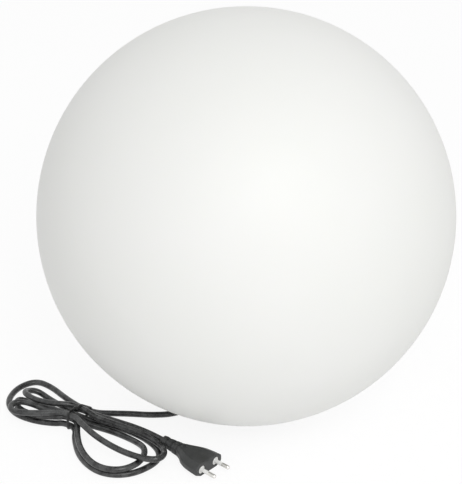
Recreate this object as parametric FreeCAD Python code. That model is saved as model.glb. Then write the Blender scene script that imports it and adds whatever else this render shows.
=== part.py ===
import FreeCAD, Part
import math
import os

V = FreeCAD.Vector

# Garden globe light, 40 cm. Millimetres, +Z up. The origin is the middle of the base on the ground.
# The white globe stands on a black moulded base that its neck slips over. The base carries a
# lampholder with a bulb inside the globe, and the mains cord leaves it in front on the left.

# Globe
globe_r = 200.0            # outside radius
globe_wall = 3.0
neck_in_r = 54.0           # bore of the moulded neck
land_width = 18.0          # flat land round the bore, out to where the ball is cut off
neck_wall = 3.0
neck_height = 19.0         # above the land it stands on

# Base
foot_thick = 1.5           # rubber pad under the foot ring
foot_set_back = 4.0        # foot ring inside the flange's edge
foot_ring_wall = 5.0
foot_width = 3.6
foot_count = 4
foot_span = 46.0           # degrees of ring that each pad covers
flange_edge = 1.0          # flange beyond the gasket
flange_thick = 2.0
gasket_thick = 1.2
gasket_width = 6.2
neck_play = 0.5            # radial, base spigot in the globe's neck
spigot_wall = 3.5
spigot_height = 18.0       # above the flange
spigot_chamfer = 1.0
web_thick = 3.0
web_drop = 6.0             # web's top below the spigot's top
rib_count = 10
rib_thick = 2.0
rib_height = 7.0
notch_width = 8.4          # way out for the cord, through the foot ring
seat_gap = 0.3             # between pieces that stand in or beside each other
run_past = 1.0             # how far cuts and ribs reach into or past what they meet

# Terminal chamber under the web
chamber_r = 27.0           # outside
chamber_wall = 3.0
cover_clear = 1.2          # cover's face above the ground
cover_thick = 2.2
cover_lip = 1.4            # lip that goes up into the chamber
cover_lip_thick = 1.6
cover_chamfer = 0.8
cover_screw_r = 19.5       # pitch radius of the three cover screws
post_r = 3.2
screw_r = 1.5
screw_head_r = 2.8
screw_head_thick = 1.7
cover_screw_length = 9.0
slot_width = 0.8           # screwdriver slot
slot_deep = 0.7
screw_edge = 0.4           # chamfer of the head
screw_point = 0.6          # chamfer of the tip
shank_air = 0.02           # radial, between a screw and the hole it stands in
sink_air = 0.1             # radial, round a sunk head

# Cord
cord_d = 6.0
cord_turn = 214.0          # direction of the exit, degrees round from +X
cord_exit_z = 8.4
boot_root_d = 9.6
boot_tip_d = 7.8
boot_length = 7.0          # outside the chamber wall
boot_flange_d = 9.8
boot_groove_d = 8.0
boot_flange_thick = 1.6
boot_grip = 0.05           # radial, all round between boot, wall and cord
boot_ring_count = 3
boot_ring_first = 2.0      # from the chamber wall
boot_ring_deep = 0.5
boot_ring_wide = 0.8
boot_ring_slope = 0.3
sheath_end_r = 13.5        # how far from the middle the sheath is stripped
core_d = 2.2
core_apart = 2.8
core_level = 5.0           # straight stretch before the core rises to the block
core_in_block = 2.0

# Cord clamp and terminal block, inside the chamber
clamp_r = 18.2
clamp_width = 15.0
clamp_back = 1.2           # of the saddle, behind the cord
clamp_length = 4.4
clamp_screw_apart = 10.6
clamp_air = 0.8            # between saddle and seat, tightened on the sheath
clamp_head_r = 2.3
clamp_head_thick = 1.1
clamp_screw_short = 2.5    # screw's end below the web
block_length = 17.0
block_width = 9.0
block_height = 7.0
block_reach = 8.5          # middle of the block beyond the middle of the chamber
block_pole_apart = 8.0
block_bore_d = 3.0
block_edge = 1.2
block_waist_wide = 1.6     # groove between the two poles
block_waist_deep = 2.0
terminal_well_air = 0.3
terminal_screw_r = 1.3
terminal_screw_length = 2.6
terminal_head_thick = 1.0
lead_stand_off = 4.2       # lamp leads rise this far from the block

# Lampholder for a 27 mm screw cap
holder_r = 20.5
holder_wall = 3.6
holder_height = 48.0
holder_screw_out = 4.1     # its two fixing screws, beyond the skirt
holder_flange_edge = 3.4   # flange beyond the screws' axes
holder_flange_thick = 3.0
holder_edge = 0.8
holder_rim_out = 1.4       # grip rim at the top, beyond the skirt
holder_rim_height = 5.0
flute_count = 18
flute_r = 1.0
flute_low = 8.0            # above the holder's foot
flute_length = 28.0
holder_screw_length = 6.0
insert_height = 9.0
insert_step = 3.0
shell_r = 14.6
shell_wall = 0.6
shell_height = 26.0
shell_roll = 1.0           # rolled lip at the top
contact_width = 7.0
contact_thick = 0.8
contact_rise = 2.6
contact_foot = 3.0
contact_tongue = 2.4       # half the length of its raised end
wire_hole_r = 2.0

# Bulb
cap_r = 13.1
cap_height = 22.0
cap_wall = 0.5
cap_turn_count = 4
cap_turn_pitch = 3.6
cap_turn_deep = 1.1
cap_first_turn = 2.4
tip_r = 4.8
tip_thick = 1.6
insulator_thick = 3.4
insulator_low_r = 6.0
bulb_r = 30.0
bulb_neck_r = 15.0
housing_height = 34.0
housing_wall = 2.4
bulb_height = 112.0        # tip to top of the dome
board_r = 20.0
board_thick = 1.6
board_deep = 3.2           # underside below the housing's rim
chip_count = 8
chip_size = (2.8, 2.8, 0.7)
rim_in = 2.5               # dome's and housing's rim inside the dome's full radius
housing_sweep = 3.4        # how far the housing has flared at 45% of its height
bulb_seat = 0.4            # tip above the centre contact
dome_wall = 1.2
cap_into_housing = 4.0

# Plug, flat two-pin. In section it is thick along the middle and slopes to thin side edges
plug_thick = 13.7
plug_edge_thick = 6.0
plug_width = 35.5
plug_flat_width = 22.0     # flat top and underside, at the face with the pins
plug_length = 60.5
plug_round = 2.0           # its long edges
plug_nose_edge = 0.8       # chamfer round the face with the pins
# shoulders: how far from the cord's entry, full width, and width of the flat top
plug_shoulders = ((29.0, 17.5, 9.6), (35.0, 25.5, 14.0), (42.0, 31.0, 18.0), (50.0, 33.8, 21.0))
relief_length = 26.0       # ringed strain relief, eight-sided
relief_tail_d = 8.8
relief_tail_side = 4.4     # width of each of its eight sides, at the cord
relief_end_width = 14.4
relief_end_thick = 12.8
relief_end_side = 6.4
relief_ring_count = 3
relief_groove = 0.9        # depth
relief_groove_width = 1.4
relief_round = 1.6
relief_pitch = 7.6
relief_first = 6.8
pin_apart = 19.0
pin_d = 4.0
pin_length = 19.0
sleeve_length = 10.0
sleeve_d = 3.8
sleeve_foot = 0.8          # pale disc at the sleeve's foot, in the dish
pin_core_d = 3.0
pin_tip = 1.4              # length of the rounded tip
pin_inset = 6.0            # how deep the pin is held in the body
pin_dish_d = 8.4
pin_dish_deep = 1.6
plug_at = (-78.9, -96.8)   # where the cord enters the plug
plug_turn = -41.6

# Hank: the spare cord, wound in long loops that a tie draws in at the waist
tie_at = (-164.0, -56.8)
tie_turn = -33.0           # direction of the hank's long axis
strand_air = 0.9           # least room left between strands that cross
slot_air = 1.1             # and between strands side by side in the waist
half_waist = 8.0
loop_steps = 10
fine = 6                   # samples of the course for each corner of it
ground_air = 0.02
tie_thick = 1.1
tie_width = 3.0
tie_air = 0.3
tie_tail = 9.0             # twisted ends of the tie, laid over the strands
tie_tail_d = 2.2
# side of the tie, reach, swing at the tip, then how far the outgoing and the returning half
# bow out and how early they do it, and the waist slots that the loop starts from and ends in
loops = (
    (-1, 82.0, 15.0, (24.0, 3.0), (38.0, 0.15), 2.5, -2.5),
    (1, 99.0, -19.0, (34.0, 0.35), (34.0, 0.7), -2.5, 0.5),
    (-1, 57.0, -10.0, (12.0, 0.9), (12.0, 0.9), 0.5, -1.5),
    (1, 98.0, -22.0, (32.0, 0.4), (24.0, 0.8), -1.5, -0.5),
    (-1, 58.0, -21.0, (12.0, 0.8), (12.0, 0.9), -0.5, -1.5),
    (1, 107.0, -16.0, (20.0, 0.9), (19.0, 0.9), -1.5, 0.5),
    (-1, 64.0, -3.0, (-14.0, 0.8), (-12.0, 0.8), 0.5, 1.5),
)
hank_start = (-132.0, -47.8)
hank_leave = 15.0          # along the hank, past the waist
hank_leave_out = 1.5       # and across it

# Free stretches of cord: how far beyond the boot and how much below its height the cord comes
# down under the globe, then places on the ground with their height above it, and the last run
run_down = ((0.0, 0.0), (7.5, 0.0), (17.0, 2.0), (29.0, 3.6))
run_spots = ((-70.5, -46.6, 0.3), (-93.0, -48.4, 0.05))
run_last = 20.0
tail_first = 15.0
tail_spot = (57.0, 15.0, 0.3)      # along and across the hank, above the plug's axis

# Where the pieces stand, worked out from the sizes above
ground = 0.0
mouth_r = neck_in_r + land_width
mouth_z = globe_r - math.sqrt(globe_r ** 2 - mouth_r ** 2)
land_top = mouth_z + globe_wall
neck_top = land_top + neck_height
flange_top = mouth_z - gasket_thick
flange_low = flange_top - flange_thick
spigot_r = neck_in_r - neck_play
spigot_in_r = spigot_r - spigot_wall
gasket_in_r = spigot_r + seat_gap
gasket_r = gasket_in_r + gasket_width
flange_r = gasket_r + flange_edge
foot_ring_r = flange_r - foot_set_back
spigot_top = flange_top + spigot_height
web_top = spigot_top - web_drop
web_low = web_top - web_thick
foot_ring_in_r = foot_ring_r - foot_ring_wall
chamber_in_r = chamber_r - chamber_wall
cover_low = ground + cover_clear
cover_top = cover_low + cover_thick
holder_top = web_top + holder_height
holder_screw_r = holder_r + holder_screw_out
holder_flange_r = holder_screw_r + holder_flange_edge
insert_low = web_top + holder_flange_thick
insert_top = insert_low + insert_height
contact_top = insert_top + contact_rise
bulb_low = contact_top + bulb_seat
cap_low = bulb_low + tip_thick + insulator_thick
cap_top = cap_low + cap_height
housing_top = cap_top - cap_into_housing + housing_height
bulb_top = bulb_low + bulb_height
cord_r = cord_d / 2
clamp_low = cord_exit_z - cord_r - clamp_back
strand_pitch = cord_d + strand_air
slot = cord_d + slot_air
plug_axis_z = plug_thick / 2


def flat(points):
    """Straight edges through (radius, height) points, in the XZ plane."""
    spots = [V(r, 0, z) for r, z in points]
    return [Part.makeLine(a, b) for a, b in zip(spots, spots[1:])]


def arc(start, middle, end):
    spots = [V(r, 0, z) for r, z in (start, middle, end)]
    return Part.Arc(*spots).toShape()


def turned(edges):
    """A solid of revolution about Z from the closed outline of the given edges."""
    face = Part.Face(Part.Wire(Part.__sortEdges__(edges)))
    return face.revolve(V(0, 0, 0), V(0, 0, 1), 360)


def lathe(points):
    return turned(flat(list(points) + [points[0]]))


def rod(radius, length, start, direction=V(0, 0, 1)):
    return Part.makeCylinder(radius, length, start, direction)


def block(size, centre_low):
    """A box of the given size, centred over the point centre_low."""
    corner = V(centre_low.x - size[0] / 2, centre_low.y - size[1] / 2, centre_low.z)
    return Part.makeBox(*size, corner)


def round_z(shape, degrees):
    turned_shape = shape.copy()
    turned_shape.rotate(V(0, 0, 0), V(0, 0, 1), degrees)
    return turned_shape


def outwards(radius, height, turn=cord_turn):
    """The point at this radius and height in the direction of turn."""
    angle = math.radians(turn)
    return V(radius * math.cos(angle), radius * math.sin(angle), height)


def on_sphere(radius, height):
    """Radius of the horizontal circle that a sphere about the globe's centre has at a height."""
    return math.sqrt(radius ** 2 - (globe_r - height) ** 2)


# ---------------------------------------------------------------- globe

def globe_shell():
    """Rotation-moulded ball with a flat land round its mouth and a neck turned up inside."""
    inner_r = globe_r - globe_wall
    land_in = on_sphere(inner_r, land_top)
    neck_out_r = neck_in_r + neck_wall
    outside = arc((mouth_r, mouth_z), (globe_r, globe_r), (0, 2 * globe_r))
    inside = arc((land_in, land_top), (inner_r, globe_r), (0, globe_r + inner_r))
    crown = flat([(0, 2 * globe_r), (0, globe_r + inner_r)])
    neck = flat([
        (land_in, land_top),
        (neck_out_r, land_top),
        (neck_out_r, neck_top),
        (neck_in_r, neck_top),
        (neck_in_r, mouth_z),
        (mouth_r, mouth_z),
    ])
    return turned([outside, inside] + crown + neck)


def neck_gasket():
    """Flat rubber ring between the base flange and the land of the globe."""
    return lathe([
        (gasket_in_r, flange_top),
        (gasket_r, flange_top),
        (gasket_r, mouth_z),
        (gasket_in_r, mouth_z),
    ])


# ---------------------------------------------------------------- base

def base_cap():
    """Moulded base: foot ring, flange, spigot, ribbed web and the wall of the terminal chamber."""
    cap = lathe([
        (foot_ring_in_r, foot_thick),
        (foot_ring_r, foot_thick),
        (foot_ring_r, flange_low),
        (flange_r, flange_low),
        (flange_r, flange_top),
        (spigot_r, flange_top),
        (spigot_r, spigot_top - spigot_chamfer),
        (spigot_r - spigot_chamfer, spigot_top),
        (spigot_in_r, spigot_top),
        (spigot_in_r, web_top),
        (0, web_top),
        (0, web_low),
        (chamber_in_r, web_low),
        (chamber_in_r, cover_top),
        (chamber_r, cover_top),
        (chamber_r, web_low),
        (spigot_in_r, web_low),
        (spigot_in_r, flange_low),
        (foot_ring_in_r, flange_low),
    ])
    rib_pitch = 360.0 / rib_count
    rib_span = spigot_in_r - chamber_r
    for k in range(rib_count):
        rib = Part.makeBox(rib_span + 2 * run_past, rib_thick, rib_height,
                           V(chamber_r - run_past, -rib_thick / 2, web_low - rib_height))
        cap = cap.fuse(round_z(rib, cord_turn + rib_pitch * (k + 0.5)))
    for turn in cover_screw_turns():
        post = rod(post_r, web_low - cover_top, outwards(cover_screw_r, cover_top, turn))
        cap = cap.fuse(post)
    for turn in cover_screw_turns():
        pilot = rod(screw_r, cover_screw_length, outwards(cover_screw_r, cover_top, turn))
        cap = cap.cut(pilot)
    cap = cap.cut(way_out())
    cap = cap.cut(boot_hole())
    for hole in wire_holes():
        cap = cap.cut(hole)
    for turn in holder_screw_turns():
        pilot = rod(screw_r, web_thick, outwards(holder_screw_r, web_low, turn))
        cap = cap.cut(pilot)
    return cap.removeSplitter()


def cover_screw_turns():
    return [cord_turn + 60 + 120 * k for k in range(3)]


def holder_screw_turns():
    return [cord_turn + 90 + 180 * k for k in range(2)]


def way_out():
    """Notch through the foot ring, open below, that the cord leaves by."""
    length = foot_ring_wall + 2 * run_past
    notch = Part.makeBox(length, notch_width, flange_low - foot_thick,
                         V(foot_ring_in_r - run_past, -notch_width / 2, foot_thick))
    return round_z(notch, cord_turn)


def boot_hole():
    start = outwards(chamber_in_r - run_past, cord_exit_z)
    return rod(boot_groove_d / 2, chamber_wall + 2 * run_past, start, outwards(1, 0))


def wire_spots():
    """Where the two lamp leads rise through the web."""
    middle = outwards(-block_reach - block_width / 2 - lead_stand_off, 0)
    side = outwards(1, 0, cord_turn + 90)
    return [middle + side * (block_pole_apart / 2 * k) for k in (-1, 1)]


def wire_holes():
    holes = []
    for spot in wire_spots():
        low = V(spot.x, spot.y, web_low)
        holes.append(rod(wire_hole_r, web_thick + holder_flange_thick, low))
    return holes


def rubber_foot(k):
    """One of the arc-shaped pads let into the underside of the foot ring."""
    middle_r = foot_ring_r - foot_ring_wall / 2
    half = foot_width / 2
    ring = flat([
        (middle_r - half, ground),
        (middle_r + half, ground),
        (middle_r + half, foot_thick),
        (middle_r - half, foot_thick),
        (middle_r - half, ground),
    ])
    face = Part.Face(Part.Wire(ring))
    pad = face.revolve(V(0, 0, 0), V(0, 0, 1), foot_span)
    first = cord_turn + (360.0 / foot_count) * (k + 0.5) - foot_span / 2
    return round_z(pad, first)


def terminal_cover():
    """Round lid of the chamber, with a lip inside its wall and three countersunk holes."""
    lip_r = chamber_in_r - seat_gap
    cover = lathe([
        (0, cover_low),
        (chamber_r - cover_chamfer, cover_low),
        (chamber_r, cover_low + cover_chamfer),
        (chamber_r, cover_top),
        (lip_r, cover_top),
        (lip_r, cover_top + cover_lip),
        (lip_r - cover_lip_thick, cover_top + cover_lip),
        (lip_r - cover_lip_thick, cover_top),
        (0, cover_top),
    ])
    for turn in cover_screw_turns():
        cover = cover.cut(rod(screw_r, cover_thick, outwards(cover_screw_r, cover_low, turn)))
        cover = cover.cut(rod(screw_head_r, screw_head_thick,
                              outwards(cover_screw_r, cover_low, turn)))
        cover = cover.cut(rod(post_r + seat_gap, cover_lip,
                              outwards(cover_screw_r, cover_top, turn)))
    # the lip stops on each side of the boot's inner flange
    room = boot_flange_d + 2 * seat_gap
    gap = Part.makeBox(lip_r, room, cover_lip, V(lip_r / 2, -room / 2, cover_top))
    return cover.cut(round_z(gap, cord_turn))


def screw(length, shank_r=screw_r, head_r=screw_head_r, head_thick=screw_head_thick):
    """Slotted screw standing on its head: head below z = 0, shank going up from it."""
    body = lathe([
        (0, -head_thick),
        (head_r - screw_edge, -head_thick),
        (head_r, -head_thick + screw_edge),
        (head_r, 0),
        (shank_r, 0),
        (shank_r, length - screw_point),
        (shank_r - screw_point, length),
        (0, length),
    ])
    slot_cut = Part.makeBox(4 * head_r, slot_width, slot_deep,
                            V(-2 * head_r, -slot_width / 2, -head_thick))
    return body.cut(slot_cut)


def cover_screw(turn):
    one = screw(cover_screw_length, screw_r - shank_air, screw_head_r - sink_air)
    one.translate(outwards(cover_screw_r, cover_low + screw_head_thick, turn))
    return one


# ---------------------------------------------------------------- cord entry

def along_cord(edges):
    """Turn a solid of revolution from standing at the middle to lying along the cord exit."""
    solid = turned(edges)
    solid.rotate(V(0, 0, 0), V(0, 1, 0), 90)
    solid.rotate(V(0, 0, 0), V(0, 0, 1), cord_turn)
    solid.translate(V(0, 0, cord_exit_z))
    return solid


def cord_boot():
    """Tapered rubber boot that grips the chamber wall in a groove and holds the cord."""
    bore = cord_r + boot_grip
    neck = boot_groove_d / 2 - boot_grip
    face = math.sqrt(chamber_in_r ** 2 - boot_flange_d ** 2 / 4) - boot_grip
    inner = face - boot_flange_thick
    points = [
        (bore, inner),
        (boot_flange_d / 2, inner),
        (boot_flange_d / 2, face),
        (neck, face),
        (neck, chamber_r + boot_grip),
        (boot_root_d / 2, chamber_r + boot_grip),
    ]
    pitch = (boot_length - boot_ring_first) / boot_ring_count
    taper = (boot_root_d - boot_tip_d) / 2 / boot_length
    for k in range(boot_ring_count):
        away = boot_ring_first + pitch * k
        floor = boot_root_d / 2 - taper * away - boot_ring_deep
        for deep, further in ((0, 0), (1, boot_ring_slope),
                              (1, boot_ring_slope + boot_ring_wide),
                              (0, 2 * boot_ring_slope + boot_ring_wide)):
            top = boot_root_d / 2 - taper * (away + further)
            points.append((floor if deep else top, chamber_r + away + further))
    points.append((boot_tip_d / 2, chamber_r + boot_length))
    points.append((bore, chamber_r + boot_length))
    return along_cord(flat(points + [points[0]]))


def cord_end():
    """Length of sheathed cord that the boot and the clamp hold, stripped at its inner end."""
    start = outwards(sheath_end_r, cord_exit_z)
    return rod(cord_r, chamber_r + boot_length - sheath_end_r, start, outwards(1, 0))


def clamp_part(thick, low):
    """Bar across the cord in the chamber's own axes, grooved for the cord and holed for screws."""
    bar = Part.makeBox(clamp_length, clamp_width, thick,
                       V(clamp_r - clamp_length / 2, -clamp_width / 2, low))
    for side in (-1, 1):
        spot = V(clamp_r, side * clamp_screw_apart / 2, low)
        bar = bar.cut(rod(screw_r, thick, spot))
    groove = rod(cord_r, 2 * clamp_length, V(clamp_r - clamp_length, 0, cord_exit_z), V(1, 0, 0))
    return bar.cut(groove)


def cord_clamp():
    """Saddle screwed up against the sheath from below, with sunk screw heads."""
    saddle = clamp_part(cord_exit_z - clamp_air / 2 - clamp_low, clamp_low)
    for side in (-1, 1):
        spot = V(clamp_r, side * clamp_screw_apart / 2, clamp_low)
        saddle = saddle.cut(rod(clamp_head_r + sink_air, clamp_head_thick, spot))
    return round_z(saddle, cord_turn)


def clamp_seat():
    """Block under the web that the cord is clamped against."""
    low = cord_exit_z + clamp_air / 2
    return round_z(clamp_part(web_low - low, low), cord_turn)


def clamp_screw(side):
    length = web_low - clamp_low - clamp_head_thick - clamp_screw_short
    one = screw(length, screw_r - shank_air, clamp_head_r, clamp_head_thick)
    one.translate(V(clamp_r, side * clamp_screw_apart / 2, clamp_low + clamp_head_thick))
    return round_z(one, cord_turn)


def bend(start, corner, end):
    """Arc that leaves start towards corner and reaches end from it, both equally far off."""
    half_turn = (corner - start).getAngle(end - corner) / 2
    chord_middle = (start + end) * 0.5
    share = math.cos(half_turn) / (1 + math.cos(half_turn))
    middle = chord_middle + (corner - chord_middle) * share
    return Part.Arc(start, middle, end).toShape(), (corner - start).Length / math.tan(half_turn)


def pipe(edges, diameter):
    """Round tube of the given diameter along connected edges."""
    path = Part.Wire(edges)
    start = edges[0].valueAt(edges[0].FirstParameter)
    heading = edges[0].tangentAt(edges[0].FirstParameter)
    ring = Part.Wire(Part.makeCircle(diameter / 2, start, heading))
    shell = Part.BRepOffsetAPI.MakePipeShell(path)
    shell.add(ring)
    shell.build()
    shell.makeSolid()
    return shell.shape()


def route_edges(points):
    """Straight runs joined by tangent arcs as large as the runs beside them allow."""
    edges = []
    radii = []
    here = points[0]
    for before, corner, after in zip(points, points[1:], points[2:]):
        reach = 0.45 * min((corner - before).Length, (after - corner).Length)
        start = corner + (before - corner).normalize() * reach
        end = corner + (after - corner).normalize() * reach
        arc_edge, radius = bend(start, corner, end)
        edges.append(Part.makeLine(here, start))
        edges.append(arc_edge)
        radii.append(radius)
        here = end
    edges.append(Part.makeLine(here, points[-1]))
    return edges, radii


def laid_tube(name, points, diameter=cord_d):
    """A tube along a route, with its radii and its volume printed beside what they should be."""
    edges, radii = route_edges(points)
    solid = pipe(edges, diameter)
    length = sum(edge.Length for edge in edges)
    expected = math.pi * diameter ** 2 / 4 * length
    print(name, "length", round(length, 1), "radii", [round(r, 1) for r in radii],
          "volume", round(solid.Volume / expected, 4))
    return solid


# ---------------------------------------------------------------- terminals

def terminal_block():
    """Two-pole connector block, screwed up against the web."""
    top = web_low
    body = Part.makeBox(block_width, block_length, block_height,
                        V(-block_reach - block_width / 2, -block_length / 2, top - block_height))
    edges = [e for e in body.Edges if abs(e.Vertexes[0].Z - e.Vertexes[1].Z) > 1]
    body = body.makeFillet(block_edge, edges)
    through = block_width + 2 * run_past
    back = -block_reach - through / 2
    waist = Part.makeBox(through, block_waist_wide, block_waist_deep,
                         V(back, -block_waist_wide / 2, top - block_height))
    body = body.cut(waist)
    for side in (-1, 1):
        y = side * block_pole_apart / 2
        bore = rod(block_bore_d / 2, through, V(back, y, top - block_height / 2), V(1, 0, 0))
        well = rod(terminal_screw_r + terminal_well_air, block_height / 2,
                   V(-block_reach, y, top - block_height))
        body = body.cut(bore).cut(well)
    return round_z(body, cord_turn)


def terminal_screw(side):
    """Brass screw in the well of one pole."""
    one = screw(terminal_screw_length, terminal_screw_r - terminal_well_air, terminal_screw_r,
                terminal_head_thick)
    one.translate(V(-block_reach, side * block_pole_apart / 2, web_low - block_height + slot_deep))
    return round_z(one, cord_turn)


def core(side):
    """One insulated core, from the stripped sheath to its pole of the block."""
    pole = side * block_pole_apart / 2
    bore_z = web_low - block_height / 2
    face = -block_reach + block_width / 2
    spots = [
        V(sheath_end_r, side * core_apart / 2, cord_exit_z),
        V(sheath_end_r - core_level, side * core_apart / 2, cord_exit_z),
        V(face - core_in_block + core_level + 2.0, pole, bore_z),
        V(face - core_in_block, pole, bore_z),
    ]
    tube = laid_tube("core", spots, core_d)
    return round_z(tube, cord_turn)


def lamp_lead(side):
    """Lead from the block up through the web to the lampholder's contacts."""
    spot = wire_spots()[0 if side < 0 else 1]
    low = web_low - block_height / 2
    pole = outwards(1, 0, cord_turn + 90) * (side * block_pole_apart / 2)
    start = outwards(-block_reach - block_width / 2 + core_in_block, low) + pole
    corner = V(spot.x, spot.y, low)
    return laid_tube("lamp_lead", [start, corner, V(spot.x, spot.y, insert_low)], core_d)


# ---------------------------------------------------------------- lampholder

def lampholder_body():
    """Moulded skirt and foot of the lampholder, with finger ribs round it."""
    in_r = holder_r - holder_wall
    body = lathe([
        (0, web_top),
        (holder_flange_r, web_top),
        (holder_flange_r, web_top + holder_flange_thick - holder_edge),
        (holder_flange_r - holder_edge, web_top + holder_flange_thick),
        (holder_r + holder_edge, web_top + holder_flange_thick),
        (holder_r, web_top + holder_flange_thick + holder_edge),
        (holder_r, holder_top - holder_rim_height - holder_edge),
        (holder_r + holder_rim_out, holder_top - holder_rim_height),
        (holder_r + holder_rim_out, holder_top - holder_edge),
        (holder_r + holder_rim_out - holder_edge, holder_top),
        (in_r, holder_top),
        (in_r, insert_low),
        (0, insert_low),
    ])
    for turn in holder_screw_turns():
        hole = rod(screw_r, holder_flange_thick, outwards(holder_screw_r, web_top, turn))
        body = body.cut(hole)
    for hole in wire_holes():
        body = body.cut(hole)
    for k in range(flute_count):
        spot = outwards(holder_r + flute_r / 2, web_top + flute_low, 360.0 / flute_count * k)
        body = body.cut(rod(flute_r, flute_length, spot))
    return body


def lampholder_insert():
    """Ceramic floor of the lampholder, stepped where the screw shell stands on it."""
    out_r = holder_r - holder_wall - seat_gap
    core_r = shell_r - shell_wall - seat_gap
    insert = lathe([
        (0, insert_low),
        (out_r, insert_low),
        (out_r, insert_top - insert_step),
        (core_r, insert_top - insert_step),
        (core_r, insert_top),
        (0, insert_top),
    ])
    seat_width = contact_width + seat_gap
    seat = Part.makeBox(2 * contact_width, seat_width, contact_thick,
                        V(-contact_width, -seat_width / 2, insert_top - contact_thick))
    return insert.cut(round_z(seat, cord_turn))


def lampholder_screw_shell():
    """Pressed metal shell that the bulb's cap screws into."""
    low = insert_top - insert_step
    top = low + shell_height
    return lathe([
        (shell_r - shell_wall, low),
        (shell_r, low),
        (shell_r, top),
        (shell_r + shell_roll, top + shell_roll),
        (shell_r + shell_roll - shell_wall, top + shell_roll + shell_wall),
        (shell_r - shell_wall, top + shell_wall / 2),
    ])


def lampholder_contact():
    """Sprung centre contact, a strip bent up in the middle."""
    half = contact_width
    low = insert_top - contact_thick
    under = contact_top - contact_thick
    outline = [
        (-half, low),
        (-half + contact_foot, low),
        (-contact_tongue, under),
        (contact_tongue, under),
        (contact_tongue, contact_top),
        (-contact_tongue - contact_thick / 2, contact_top),
        (-half + contact_foot - contact_thick / 2, insert_top),
        (-half, insert_top),
    ]
    spots = [V(x, -contact_width / 2, z) for x, z in outline]
    face = Part.Face(Part.makePolygon(spots + [spots[0]]))
    strip = face.extrude(V(0, contact_width, 0))
    return round_z(strip, cord_turn)


def holder_screw(turn):
    one = screw(holder_screw_length, screw_r - shank_air)
    one.rotate(V(0, 0, 0), V(1, 0, 0), 180)
    one.translate(outwards(holder_screw_r, web_top + holder_flange_thick, turn))
    return one


# ---------------------------------------------------------------- bulb

def bulb_cap():
    """Plated screw cap, drawn from thin sheet, with rounded turns round it."""
    mouth = insulator_low_r + cap_turn_deep
    points = [(mouth, cap_low), (cap_r - 2 * cap_turn_deep, cap_low + cap_turn_deep)]
    for k in range(cap_turn_count):
        low = cap_low + cap_first_turn + cap_turn_pitch * k
        points.append((cap_r - cap_turn_deep, low))
        points.append((cap_r, low + cap_turn_pitch * 0.4))
        points.append((cap_r, low + cap_turn_pitch * 0.6))
    band = cap_low + cap_first_turn + cap_turn_pitch * cap_turn_count
    bore = cap_r - cap_turn_deep - cap_wall
    points.append((cap_r - cap_turn_deep, band))
    points.append((cap_r - cap_turn_deep / 2, band + cap_turn_deep / 2))
    points.append((cap_r - cap_turn_deep / 2, cap_top))
    points.append((bore, cap_top))
    points.append((bore, cap_low + cap_first_turn + cap_wall))
    points.append((mouth, cap_low + cap_turn_deep))
    return lathe(points)


def bulb_insulator():
    """Black glass between the cap and the centre contact."""
    low = bulb_low + tip_thick
    out_r = insulator_low_r + cap_turn_deep - cap_wall / 2
    return lathe([
        (0, low),
        (tip_r, low),
        (out_r, cap_low - cap_wall),
        (out_r, cap_low + cap_turn_deep),
        (0, cap_low + cap_turn_deep),
    ])


def bulb_contact():
    """Soldered centre contact."""
    return lathe([
        (0, bulb_low),
        (tip_r / 2, bulb_low),
        (tip_r, bulb_low + tip_thick / 2),
        (tip_r, bulb_low + tip_thick),
        (0, bulb_low + tip_thick),
    ])


def bulb_housing():
    """White moulded heat sink that flares from the cap to the dome."""
    bore = cap_r - 2 * cap_turn_deep
    top_r = bulb_r - rim_in
    collar = 2.0
    side = arc((bulb_neck_r, cap_top + collar),
               (bulb_neck_r + housing_sweep, cap_top + housing_height * 0.45),
               (top_r, housing_top))
    lower = flat([(bore, cap_top), (cap_r + boot_grip, cap_top), (bulb_neck_r, cap_top + collar)])
    inner = flat([
        (top_r, housing_top),
        (top_r - housing_wall, housing_top),
        (board_r + seat_gap, housing_top - board_deep),
        (bore, cap_top + 2 * cap_into_housing),
        (bore, cap_top),
    ])
    return turned(lower + [side] + inner)


def bulb_board():
    """Round board that carries the light sources, on the rim inside the housing."""
    low = housing_top - board_deep
    board = rod(board_r, board_thick, V(0, 0, low))
    for k in range(chip_count):
        spot = outwards(board_r * 0.68, low + board_thick, 360.0 / chip_count * k)
        board = board.fuse(block(chip_size, spot))
    return board


def bulb_dome():
    """Opal dome."""
    low = housing_top
    side_z = bulb_top - bulb_r
    slant = math.sqrt(0.5)
    edges = []
    crowns = []
    rims = []
    for radius, rim_r in ((bulb_r, bulb_r - rim_in),
                          (bulb_r - dome_wall, bulb_r - rim_in - dome_wall)):
        crown = (0, side_z + radius)
        shoulder = (radius * slant, side_z + radius * slant)
        edges.append(arc((radius, side_z), shoulder, crown))
        edges.append(arc((rim_r, low), (radius - rim_in / 4, (low + side_z) / 2),
                         (radius, side_z)))
        crowns.append(crown)
        rims.append((rim_r, low))
    return turned(edges + flat(crowns) + flat(rims))


# ---------------------------------------------------------------- hank of spare cord

def across_tie(along, across):
    """Place on the ground of a spot given along and across the hank from its tie."""
    angle = math.radians(tie_turn)
    x = tie_at[0] + along * math.cos(angle) - across * math.sin(angle)
    y = tie_at[1] + along * math.sin(angle) + across * math.cos(angle)
    return (x, y)


def loop_points(side, reach, swing, out, back, first, last):
    """One loop, out from the waist on one side of the tie and back to it, as a pear shape."""
    points = []
    for k in range(loop_steps + 1):
        turn = 2 * math.pi * k / loop_steps
        away = (1 - math.cos(turn)) / 2
        gone = (turn - math.sin(turn)) / (2 * math.pi)
        bow, early = out if k <= loop_steps / 2 else back
        along = side * (half_waist + reach * away)
        across = (first + (last - first) * gone) * slot
        across += swing * away * (2 - away)
        across -= side * bow * math.sin(turn) * away ** early
        points.append(across_tie(along, across))
    return points


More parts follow.
